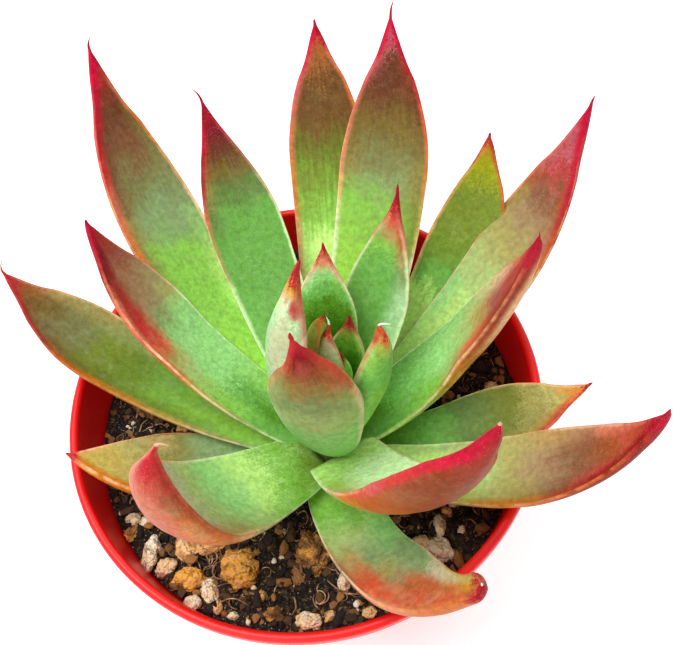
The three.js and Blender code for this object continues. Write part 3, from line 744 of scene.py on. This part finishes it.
def bladeFinish(blade, number):
    skin = leafSkin
    finish = Finish(f"blade_skin_{number:02d}")
    place = finish.given("blade", "Vector")
    across, along, side = [finish.node("SeparateXYZ", {}, {"Vector": place}, axis) for axis in "XYZ"]
    edge = finish.given("edge")
    cloud = finish.noise(skin["cloud"], 3)
    patch = finish.noise(skin["patch"], 4)
    grain = finish.noise(skin["grain"], 3)
    mottle = finish.noise(skin["mottle"], 5)
    length = blade["length"] * skin["streakStretch"]
    values = {"X": across * (blade["width"] / 2), "Y": along * length, "Z": number}
    streak = finish.noise(skin["streak"], 3, finish.node("CombineXYZ", {}, values))

    run = along + (cloud - 0.5) * blade["wander"] + (streak - 0.5) * blade["streaks"]
    run = run + (patch - 0.5) * skin["patchShift"] + (grain - 0.5) * skin["grainShift"]
    wide = across + (cloud - 0.5) * skin["cloudShift"]
    top = zoned(finish, blade, "face", run, wide, blade["zone"])
    below = zoned(finish, blade, "under", run, wide, blade["zone"])
    colour = finish.blend(finish.rise(side, *skin["turnover"]), below, top)

    unripe = 1 - finish.rise(along, *skin["bloomEnds"])
    bloom = finish.rise(patch + (cloud - 0.5) * skin["bloomCloud"], *skin["bloomPatches"])
    bloom = bloom * unripe * blade["bloom"]
    colour = finish.blend(bloom, colour, blade["bloomColour"])
    for mark in blade["marks"]:
        away = ((across - mark["at"][0]) / mark["size"][0]) ** 2
        away = away + ((along - mark["at"][1]) / mark["size"][1]) ** 2
        away = away + (patch - 0.5) * skin["markPatches"]
        share = (1 - finish.rise(away, *skin["markEdge"])) * mark["share"]
        colour = finish.blend(share, colour, mark["colour"])

    left, right = blade["band"]
    inner, outer = skin["bandEdge"]
    width = finish.rise(across, *skin["middle"]) * (left - right) + right
    width = width * (finish.rise(along, *skin["bandGrows"]) * 0.5 + 0.5)
    frayed = edge + (patch - 0.5) * skin["bandPatches"]
    band = 1 - finish.rise(frayed, width * inner, width * outer)
    margin = zoned(finish, blade, "edge", run, across, skin["middle"])
    colour = finish.blend(band * skin["bandShare"], colour, margin)
    # A thin line along the very margin, partly its own pale colour and partly a painted highlight on the
    # edge.
    line = (1 - finish.rise(edge, *skin["lineEdge"])) * finish.rise(patch, *skin["linePatches"])
    colour = finish.blend(line * skin["lineShare"], colour, finish.ramp(run, blade["line"]))

    chance = finish.node("SeparateColor", {}, {"Color": finish.cells(skin["flecks"], "Color")}, "Red")
    spot = 1 - finish.rise(finish.cells(skin["flecks"]), *skin["fleckSize"])
    spot = spot * finish.rise(chance, *skin["fleckChance"])
    speckle = spot * finish.rise(cloud + (grain - 0.5), *skin["fleckPatches"]) * blade["specks"]
    colour = finish.blend(speckle, colour, "white")
    light = skin["shade"] + grain * skin["grainShade"] + mottle * skin["mottleShade"]
    colour = finish.shade(colour, light * blade["tone"])
    # The tip and its bristle take a colour of their own; where that is white or blush it is partly a painted
    # glint.
    colour = finish.blend(finish.rise(along, *skin["whiskerAndGlint"]), colour, blade["whiskerAndGlint"])

    pits = finish.bump(finish.cells(skin["pits"]), *skin["pitBump"])
    finish.put(
        Base_Color=colour,
        Roughness=skin["roughness"] + bloom * skin["bloomRoughness"] + grain * skin["grainRoughness"],
        Normal=finish.bump(patch + streak * skin["streakRelief"], *skin["skinBump"], pits),
        Subsurface_Weight=skin["subsurface"],
        Subsurface_Radius=(1, 0.8, 0.3),
        Subsurface_Scale=0.0008,
        Specular_IOR_Level=skin["specular"],
        IOR=1.4,
    )
    return finish


for number, given in enumerate(blades, 1):
    blade = {**usualBlade, **usualLook, **given}
    piece = newPiece(f"blade_{number:02d}", shapeBlade(blade, number), bladeFinish(blade, number))
    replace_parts(piece, blade["node"])
print("blades shaped:", len(blades))


# A shape turned once round the Z axis, from rows of radius and height.
def spun(profile, steps):
    bm = bmesh.new()
    verts = [bm.verts.new((r * mm, 0, z * mm)) for r, z in profile]
    edges = [bm.edges.new(pair) for pair in zip(verts, verts[1:])]
    bmesh.ops.spin(bm, geom=verts + edges, cent=(0, 0, 0), axis=(0, 0, 1), angle=2 * math.pi,
                   steps=steps, use_merge=True)
    bmesh.ops.remove_doubles(bm, verts=bm.verts, dist=1e-6)
    bmesh.ops.recalc_face_normals(bm, faces=bm.faces)
    return bm


def shapeStem():
    shape = stemShape
    middle = shape["middle"][2]
    low = middle - shape["reach"]
    high = middle + shape["rise"]
    profile = [(0, low)]
    for i in range(shape["rings"] + 1):
        z = low + (high - low) * i / shape["rings"]
        taper = smoothstep(middle - shape["taperFrom"], high, z)
        profile.append((shape["radius"] + (shape["topRadius"] - shape["radius"]) * taper, z))
    profile.append((0, high))
    bm = spun(profile, shape["sides"])
    for vert in bm.verts:
        point = vert.co / mm
        scar = math.sin(point.z * shape["scarPitch"] + math.atan2(point.y, point.x) * shape["scarTurns"])
        lumps = scar * shape["scarWeight"] + noise.noise(point * shape["lumpScale"])
        grown = 1 + lumps * shape["scarHeight"] / shape["radius"]
        centre = stemAt(point.z)
        vert.co = Vector((point.x * grown + centre.x, point.y * grown + centre.y, point.z)) * mm
    return bm


# A matt finish of one noise, given by scale and detail. rough: the least, and what the noise adds.
# bump: strength and depth, of a noise of its own if one is given.
def mattFinish(name, clouds, stops, rough, bump, bumps=None):
    finish = Finish(name)
    cloud = finish.noise(*clouds)
    relief = finish.noise(*bumps) if bumps else cloud
    finish.put(Base_Color=finish.ramp(cloud, stops), Roughness=rough[0] + cloud * rough[1],
               Normal=finish.bump(relief, *bump))
    return finish


stemBark = mattFinish("stem_bark", clouds=(300, 4), stops="30 stemBrown 60 stemGreen 80 paleLime",
                      rough=(0.6, 0.2), bump=(0.5, 0.2), bumps=(900, 4))
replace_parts(newPiece("stem_core", shapeStem(), stemBark), "stem")
print("stem shaped")


# Pot: thin moulded plastic with a small rounded lip. The rows are heights of the rings in its wall.
potShape = dict(
    height=80,
    rimRadius=50,
    footRadius=33,
    wall=1.2,
    floor=1.6,
    footBevel=1.4,
    collarHeight=14,
    collarTaper=1.4,
    groove=0.7,
    grooveDrop=0.5,
    lipWidth=2,
    lipDepth=3.4,
    lipUnderside=0.5,
    lipSteps=12,
    steps=160,
    outerRows=(12, 24, 36, 48, 58),
    collarRows=(76, 72),
    innerRows=(50, 34, 18),
    holes=6,
    holeRadius=3.5,
    holeCircle=23,
    holeSides=32,
    drillDepth=6,
    sharpFrom=0.5,
    soften=0.35,
)


def potInside(z):
    shape = potShape
    collarFoot = shape["height"] - shape["collarHeight"]
    top = shape["rimRadius"] - shape["lipWidth"]
    collar = top - shape["collarTaper"]
    if z > collarFoot:
        return collar + (top - collar) * (z - collarFoot) / shape["collarHeight"]
    foot = shape["footRadius"] - shape["wall"]
    return foot + (collar - foot) * z / collarFoot


def shapePot():
    shape = potShape
    height, wall, rim = shape["height"], shape["wall"], shape["rimRadius"]
    collarFoot = height - shape["collarHeight"]
    under = height - shape["lipDepth"]
    lip = shape["lipWidth"] / 2
    profile = [(0, 0), (shape["footRadius"] - shape["footBevel"], 0)]
    profile += [(shape["footRadius"], shape["footBevel"])]
    profile += [(potInside(z) + wall, z) for z in shape["outerRows"]]
    profile += [(potInside(collarFoot) + wall * shape["groove"], collarFoot - shape["grooveDrop"])]
    profile += [(potInside(collarFoot) + wall, collarFoot)]
    profile += [(potInside(under) + wall, under), (rim, under + shape["lipUnderside"])]
    for i in range(shape["lipSteps"] + 1):
        turn = math.pi * i / shape["lipSteps"]
        profile += [(rim - lip + lip * math.cos(turn), height - lip + lip * math.sin(turn))]
    rows = (*shape["collarRows"], collarFoot, *shape["innerRows"], shape["floor"])
    profile += [(potInside(z), z) for z in rows]
    profile += [(0, shape["floor"])]
    bm = spun(profile, shape["steps"])
    joined = [e for e in bm.edges if len(e.link_faces) == 2]
    sharp = [e for e in joined if e.calc_face_angle(0) > shape["sharpFrom"]]
    bmesh.ops.bevel(bm, geom=sharp, offset=shape["soften"] * mm, affect="EDGES", segments=3,
                    profile=0.5, material=-1)
    return bm


def cutDrainHoles(pot):
    shape = potShape
    radius = shape["holeRadius"] * mm
    bm = bmesh.new()
    for i in range(shape["holes"]):
        turn = (i + 0.5) * 2 * math.pi / shape["holes"]
        out = Vector((math.cos(turn), math.sin(turn), 0)) * shape["holeCircle"] * mm
        bmesh.ops.create_cone(bm, cap_ends=True, segments=shape["holeSides"], radius1=radius,
                              radius2=radius, depth=shape["drillDepth"] * mm,
                              matrix=Matrix.Translation(out))
    drill = added("drill", meshOf("drill", bm))
    cut = pot.modifiers.new("drain", "BOOLEAN")
    cut.operation = "DIFFERENCE"
    cut.solver = "EXACT"
    cut.object = drill
    bpy.context.view_layer.update()
    ready = pot.evaluated_get(bpy.context.evaluated_depsgraph_get())
    drilled = bpy.data.meshes.new_from_object(ready)
    pot.modifiers.clear()
    pot.data = drilled
    bpy.data.objects.remove(drill)


def potFinish():
    finish = Finish("pot_plastic")
    cloud = finish.noise(45, 3)
    grain = finish.noise(1800, 2)
    scuff = finish.rise(finish.noise(600, 5), 0.6, 0.75)
    colour = finish.blend(cloud, tint("potDeep"), "potRed")
    colour = finish.blend(scuff * 0.06, colour, "cream")
    normal = finish.bump(grain + cloud * 2, strength=0.3, depth=0.06)
    roughness = 0.3 + cloud * 0.15 + scuff * 0.15
    # The plastic glows faintly in its own red: painted light that lifts the pot where it lies in shade.
    finish.put(Base_Color=colour, Roughness=roughness, Normal=normal, Specular_IOR_Level=0.4,
               Emission_Color=tint("potRed"), Emission_Strength=0.06)
    return finish


potPiece = newPiece("pot_shell", shapePot(), potFinish())
cutDrainHoles(potPiece)
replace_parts(potPiece, "pot")
print("pot turned")


# Soil: filled to a little under the rim, with clods on the part's own low waves.
soilShape = dict(
    depth=13,
    roughness=0.6,
    rings=84,
    steps=220,
    gap=0.3,
    edge=4,
    sideRows=(56, 40, 24),
    clods=0.9,
    clodNoise=((0.45, 1), (1.1, 0.7), (2.6, 0.45)),  # scale and share
    clodPlace=3.7,
    seed=41,
)
soilTop = potShape["height"] - soilShape["depth"]


def soilHeight(x, y):
    waves = math.sin(0.31 * x + 1.3) * math.cos(0.27 * y - 0.4) + 0.6 * math.sin(0.83 * x - 0.7 * y)
    fine = 0.5 * math.sin(1.9 * x + 0.4) * math.sin(1.7 * y)
    return soilTop + soilShape["roughness"] * (waves + fine)


def clodHeight(x, y):
    spot = Vector((x, y, soilShape["clodPlace"]))
    lumps = sum(noise.noise(spot * scale) * share for scale, share in soilShape["clodNoise"])
    return soilHeight(x, y) + soilShape["clods"] * lumps


def shapeSoil():
    shape = soilShape
    low = potShape["floor"] + shape["gap"]
    brim = potInside(soilTop) - shape["gap"]
    profile = [(brim * i / shape["rings"], soilTop) for i in range(shape["rings"] + 1)]
    profile += [(potInside(z) - shape["gap"], z) for z in (*shape["sideRows"], low + 1, low)]
    profile += [(0, low)]
    bm = spun(profile, shape["steps"])
    for vert in bm.verts:
        x, y, z = vert.co / mm
        if z > soilTop - 0.1:
            share = smoothstep(brim + 0.01, brim - shape["edge"] / 2, math.hypot(x, y))
            vert.co.z = (soilTop + (clodHeight(x, y) - soilTop) * share) * mm
    return bm


def soilFinish():
    finish = Finish("soil_peat")
    cloud = finish.noise(220, 4)
    grit = finish.noise(1400, 4)
    fleck = finish.rise(finish.noise(2600, 2), 0.66, 0.72)
    colour = finish.ramp(grit, "42 soilBlack 56 soilBrown 72 barkOrange")
    colour = finish.blend(cloud * 0.6, colour, "soilBlack")
    colour = finish.blend(fleck * 0.7, colour, "pumice")
    normal = finish.bump(grit + finish.cells(1100), strength=0.9, depth=0.6)
    finish.put(Base_Color=colour, Roughness=0.75 + grit * 0.2, Normal=normal)
    return finish


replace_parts(newPiece("soil_bed", shapeSoil(), soilFinish()), "soil")
print("soil bed shaped")


# Stones and bark crumbs as in the photograph: x, y, length, width, tallness and turn, and for stones a
# tone, where 0 is pale and 1 is ochre.
stones = [
    (-36, -25, 7.4, 3.6, 3.4, 75, 0), (-29, -25, 5.4, 4.2, 4, 100, 0.7),
    (-33, -28.5, 4.6, 4, 3.6, 20, 0.5), (-28.5, -31.5, 6.4, 4.8, 3.6, 170, 1),
    (-24.5, -34.5, 5.8, 3.6, 3.6, 110, 0.15), (-28, -36.5, 3.8, 3.2, 3, 30, 0.05),
    (-18, -31, 8.4, 7.6, 6, 120, 1), (-5, -43.3, 5.4, 3.8, 3.8, 0, 0.4), (-40, -17, 3.4, 3, 3, 10, 0.2),
    (-24, -25, 8.4, 4, 4, 5, 0.8), (23, -33.5, 6.8, 5.4, 4.6, 150, 0.1),
    (19.5, -31.5, 3.8, 3.2, 3, 10, 0.5), (24, -28.5, 4.8, 2.6, 2.8, 80, 0.3),
    (28, -24, 3.4, 3, 2.8, 0, 0.5), (3, -37, 3.8, 2.8, 2.8, 80, 0.3), (7, -43.6, 3, 2.6, 2.6, 0, 0.7),
    (41, 0, 3.4, 2.8, 2.8, 40, 0.4), (-28, 3, 3.6, 3.2, 3, 15, 0.9), (-20, -40, 2.5, 2, 2, 0, 0),
    (-14, -37, 2.8, 2.2, 2, 60, 0.9), (-37, -18, 3, 2.4, 2.2, 30, 0.1), (26, -26, 2.8, 2.2, 2, 130, 0.9),
    (-1, -43, 2.9, 2.2, 2, 20, 0.8), (-24, 3, 2.2, 2, 1.8, 0, 0), (-23, -38, 2.8, 2.2, 2, 80, 0.8),
]
barkCrumbs = [
    (-3, -30, 8.8, 6.4, 5.4, 75), (-36, 8, 4.4, 3.4, 3, 160), (-40, -20, 3.6, 3, 2.6, 40),
    (14, -40, 3.4, 2.4, 2.2, 110), (-12, -41, 3.2, 2.6, 2.2, 15),
]

# Stones and crumbs: how their forms and places are drawn.
loose = dict(
    pitting=((1.7, 0.5), (4.1, 0.3), (9.3, 0.16)),  # scale and share
    stoneRoughness=0.42,
    barkRoughness=0.75,
    flats=7,
    flatDepth=(0.72, 0.92),
    tilt=0.3,
    largeFrom=5,
    crumbs=5200,
    crumbSize=(0.45, 2.1),
    crumbLength=(1, 1.8),
    crumbTallness=(0.6, 1),
    crumbLift=(-0.1, 0.4),
    crumbDarkness=1.6,
    crumbRoughness=0.9,
    perlite=150,
    perliteSize=(0.45, 1.2),
    perliteForm=(1.2, 1, 0.8),
    perliteLift=0.3,
    perliteRoughness=0.6,
    perliteClear=0.5,
    batch=50,
)


# One rounded stone with flats and pits, from an icosphere in bm, with its tone where bm has that layer.
def addStone(bm, draw, fineness, roughness, x, y, length, width, tall, turn, tone=0, lift=0.14):
    layer = bm.verts.layers.float.get("tone")
    shift = Vector((draw.uniform(-50, 50), draw.uniform(-50, 50), draw.uniform(-50, 50)))
    flats = []
    for _ in range(loose["flats"]):
        normal = Vector((draw.gauss(0, 1), draw.gauss(0, 1), draw.gauss(0, 1))).normalized()
        flats.append((normal, draw.uniform(*loose["flatDepth"])))
    turned = Matrix.Rotation(math.radians(turn), 3, "Z")
    tilted = Matrix.Rotation(draw.uniform(-loose["tilt"], loose["tilt"]), 3, "X")
    middle = Vector((x, y, clodHeight(x, y) + tall * lift))
    for vert in bmesh.ops.create_icosphere(bm, subdivisions=fineness, radius=1)["verts"]:
        point = vert.co.copy()
        for normal, depth in flats:
            point -= normal * max(0, point.dot(normal) - depth)
        pits = sum(noise.noise(point * scale + shift) * share for scale, share in loose["pitting"])
        point *= 1 + pits * roughness
        point = turned @ (tilted @ Vector((point.x * length, point.y * width, point.z * tall)) / 2)
        vert.co = (point + middle) * mm
        if layer:
            vert[layer] = tone


def stoneFinish():
    finish = Finish("pumice_stone")
    cloud = finish.noise(500, 5)
    pits = finish.cells(1500)
    dirt = finish.rise(finish.noise(900, 5), 0.56, 0.7)
    pale = finish.ramp(cloud, "30 pumiceTan 50 pumice 65 white")
    warm = finish.ramp(cloud, "30 deepOchre 50 ochre 70 peach")
    colour = finish.blend(finish.given("tone"), pale, warm)
    colour = finish.blend(dirt * 0.45, colour, "crumbBrown")
    vein = 1 - finish.rise(abs(finish.noise(240, 4) - 0.5), 0, 0.03)
    colour = finish.blend(vein * 0.65, colour, "soilBrown")
    # Painted shade: darker in the hollows of the pits, a little lighter on the rises between them.
    colour = finish.shade(colour, 0.7 + finish.rise(pits, 0, 0.4) * 0.4)
    normal = finish.bump(pits + cloud * 1.5, strength=0.8, depth=0.35)
    finish.put(Base_Color=colour, Roughness=0.8 + cloud * 0.15, Normal=normal)
    return finish


def barkFinish():
    finish = Finish("bark_crumb")
    cloud = finish.noise(420, 5)
    grit = finish.cells(1700)
    colour = finish.ramp(cloud, "36 barkBrown 50 barkOrange 64 ochre")
    # Painted shade and light: darker in the hollows of the grit, lighter on the rises between them.
    colour = finish.shade(colour, 0.45 + finish.rise(grit, 0, 0.5) * 0.75)
    normal = finish.bump(grit + cloud, strength=0.9, depth=0.5)
    finish.put(Base_Color=colour, Roughness=0.85 + cloud * 0.1, Normal=normal)
    return finish


def layStones():
    draw = random.Random(soilShape["seed"])
    bm = bmesh.new()
    bm.verts.layers.float.new("tone")
    for stone in stones:
        fineness = 5 if stone[2] > loose["largeFrom"] else 4
        addStone(bm, draw, fineness, loose["stoneRoughness"], *stone)
    newPiece("pumice_stones", bm, stoneFinish())
    bm = bmesh.new()
    for crumb in barkCrumbs:
        addStone(bm, draw, 5, loose["barkRoughness"], *crumb)
    newPiece("bark_crumbs", bm, barkFinish())


layStones()
print("stones laid")


def crowded(x, y, margin):
    return any(math.hypot(row[0] - x, row[1] - y) < row[2] / 2 + margin for row in stones + barkCrumbs)


def scattered(draw, reach):
    turn = draw.uniform(0, 2 * math.pi)
    away = reach * math.sqrt(draw.random())
    return away * math.cos(turn), away * math.sin(turn)


def crumbFinish():
    finish = Finish("peat_crumb")
    grit = finish.noise(1800, 3)
    colour = finish.ramp(finish.given("tone") * 0.8 + grit * 0.3,
                         "15 soilBlack 38 soilBrown 60 barkBrown 90 barkOrange")
    normal = finish.bump(grit, strength=0.8, depth=0.2)
    finish.put(Base_Color=colour, Roughness=0.75 + grit * 0.2, Normal=normal)
    return finish


# Small stones are made in batches, because adding to a large mesh is slow.
def strewInto(name, finish, specks, draw, fineness, roughness, smooth):
    heap = bmesh.new()
    heap.verts.layers.float.new("tone")
    for start in range(0, len(specks), loose["batch"]):
        bm = bmesh.new()
        bm.verts.layers.float.new("tone")
        for speck in specks[start:start + loose["batch"]]:
            addStone(bm, draw, fineness, roughness, *speck)
        mesh = meshOf("batch", bm)
        heap.from_mesh(mesh)
        bpy.data.meshes.remove(mesh)
    newPiece(name, heap, finish, smooth=smooth)


def strewCrumbs():
    draw = random.Random(soilShape["seed"] + 1)
    reach = potInside(soilTop) - 1
    least, spread = loose["crumbSize"]
    crumbs = []
    for _ in range(loose["crumbs"]):
        size = least + spread * draw.random() ** 3
        x, y = scattered(draw, reach)
        turn = draw.uniform(0, 360)
        lift = draw.uniform(*loose["crumbLift"])
        tone = draw.random() ** loose["crumbDarkness"]
        length = size * draw.uniform(*loose["crumbLength"])
        tall = size * draw.uniform(*loose["crumbTallness"])
        crumbs.append((x, y, length, size, tall, turn, tone, lift))
    strewInto("peat_crumbs", crumbFinish(), crumbs, draw, 1, loose["crumbRoughness"], False)
    least, spread = loose["perliteSize"]
    specks = []
    while len(specks) < loose["perlite"]:
        x, y = scattered(draw, reach)
        size = least + spread * draw.random() ** 2
        if not crowded(x, y, loose["perliteClear"]):
            form = [size * share for share in loose["perliteForm"]]
            specks.append((x, y, *form, draw.uniform(0, 360), 0, loose["perliteLift"]))
    white = mattFinish("perlite_speck", clouds=(900, 3), stops="30 pumiceTan 50 pumice 70 white",
                       rough=(0.8, 0.1), bump=(0.6, 0.2))
    strewInto("perlite_specks", white, specks, draw, 2, loose["perliteRoughness"], True)


strewCrumbs()
print("crumbs strewn")


# Fibres: curled lines of a few points each.
fibres = dict(
    count=560,
    thickness=0.16,
    points=(5, 9),
    stride=(0.5, 1.1),
    curl=0.9,
    waver=0.3,
    arch=(0.3, 0.8),
    swell=(0.35, 1.4),
    ends=0.45,
    above=0.25,
)


# Peat and bark fibres, as bevelled curves made into one mesh.
def layFibres():
    draw = random.Random(soilShape["seed"] + 2)
    reach = potInside(soilTop) - 3
    curve = bpy.data.curves.new("fibre_lines", "CURVE")
    curve.dimensions = "3D"
    curve.bevel_depth = fibres["thickness"] * mm
    curve.bevel_resolution = 1
    curve.resolution_u = 4
    curve.use_fill_caps = True
    for _ in range(fibres["count"]):
        x, y = scattered(draw, reach)
        heading = draw.uniform(0, 2 * math.pi)
        curl = draw.uniform(-fibres["curl"], fibres["curl"])
        stride = draw.uniform(*fibres["stride"])
        line = curve.splines.new("NURBS")
        count = draw.randint(*fibres["points"])
        line.points.add(count - 1)
        thick = draw.uniform(*fibres["swell"])
        for i, point in enumerate(line.points):
            arch = math.sin(math.pi * i / (count - 1)) * draw.uniform(*fibres["arch"])
            away = math.hypot(x, y)
            if away > reach:
                x, y = x * reach / away, y * reach / away
            point.co = (x * mm, y * mm, (clodHeight(x, y) + fibres["above"] + arch) * mm, 1)
            fullness = math.sin(math.pi * (i + 0.5) / count)
            point.radius = thick * (fibres["ends"] + (1 - fibres["ends"]) * fullness)
            x += stride * math.cos(heading)
            y += stride * math.sin(heading)
            heading += curl + draw.uniform(-fibres["waver"], fibres["waver"])
        line.use_endpoint_u = True
        line.order_u = 3
    holder = added("fibre_lines", curve)
    bpy.context.view_layer.update()
    mesh = bpy.data.meshes.new_from_object(holder.evaluated_get(bpy.context.evaluated_depsgraph_get()))
    bm = bmesh.new()
    bm.from_mesh(mesh)
    bpy.data.objects.remove(holder)
    bmesh.ops.remove_doubles(bm, verts=bm.verts, dist=1e-7)
    bmesh.ops.recalc_face_normals(bm, faces=bm.faces)
    brown = mattFinish("peat_fibre", clouds=(700, 3), stops="30 crumbBrown 50 fibre 70 pumiceTan",
                       rough=(0.7, 0.2), bump=(0.6, 0.1))
    newPiece("peat_fibres", bm, brown)


layFibres()
print("fibres laid")


# Studio: a plain pale floor and soft lights.
studio = dict(
    floorSize=3,  # metres
    floorGlow=0.38,
    world=0.55,
    lights=[
        dict(name="key", at=(-240, 60, 760), aim=(0, 10, 90), size=480, power=4.4),
        dict(name="front", at=(-320, -520, 380), aim=(0, 0, 80), size=500, power=1.2),
        dict(name="back", at=(220, 520, 480), aim=(0, 10, 90), size=400, power=1.2),
    ],
)


def buildStudio():
    bm = bmesh.new()
    bmesh.ops.create_grid(bm, x_segments=12, y_segments=12, size=studio["floorSize"])
    floor = added("floor", meshOf("floor", bm))
    finish = Finish("floor_paint")
    cloud = finish.noise(3, 2)
    colour = finish.shade(tint("floorWhite")[:3], 0.98 + cloud * 0.03)
    finish.put(Base_Color=colour, Roughness=0.8 + cloud * 0.1, Emission_Color=(1, 1, 1, 1),
               Emission_Strength=studio["floorGlow"])
    floor.data.materials.append(finish.material)

    world = bpy.data.worlds.new("studio")
    world.use_nodes = True
    world.node_tree.nodes["Background"].inputs["Color"].default_value = (1, 1, 1, 1)
    world.node_tree.nodes["Background"].inputs["Strength"].default_value = studio["world"]
    scene.world = world
    for light in studio["lights"]:
        data = bpy.data.lights.new(light["name"], "AREA")
        data.energy = light["power"]
        data.size = light["size"] * mm
        lamp = added(light["name"], data)
        lamp.location = Vector(light["at"]) * mm
        lamp.rotation_mode = "QUATERNION"
        lamp.rotation_quaternion = (Vector(light["at"]) - Vector(light["aim"])).to_track_quat("Z", "Y")
    scene.view_settings.view_transform = "Standard"
    scene.view_settings.look = "None"


buildStudio()
print("studio built")
